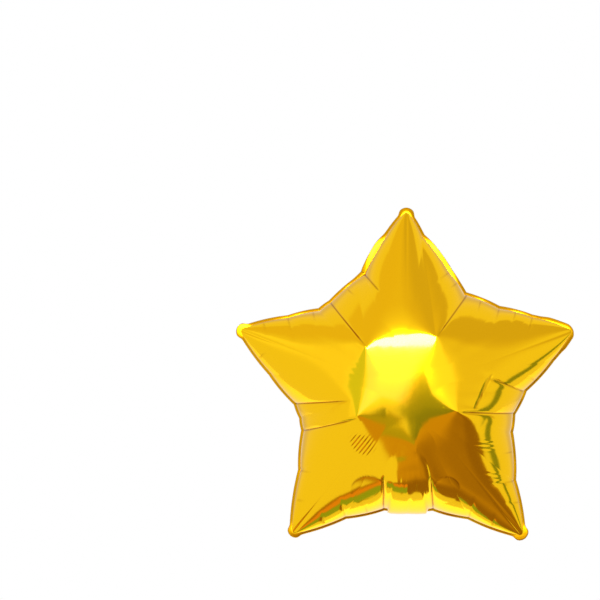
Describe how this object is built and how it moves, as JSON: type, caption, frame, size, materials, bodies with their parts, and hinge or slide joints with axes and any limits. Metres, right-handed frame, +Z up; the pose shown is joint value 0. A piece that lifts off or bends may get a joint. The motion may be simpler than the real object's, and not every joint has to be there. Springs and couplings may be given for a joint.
{
  "type": "star foil balloon",
  "caption": "Inflated star-shaped foil balloon with a heat-sealed border, round tip tabs and a filling tail folded behind it.",
  "frame": {"origin": "lowest point of the filling neck's fold, below the middle of the star, where a ribbon or stick holds it", "axes": "+X to the right seen from the front, +Z up through the top tip, front film towards -Y"},
  "size_m": [0.4313, 0.1549, 0.4219],
  "materials": {
    "gold_film": "metallised film with a glossy gold lacquer"
  },
  "bodies": {
    "root": {"star_envelope": "gold_film"}
  },
  "joints": []
}
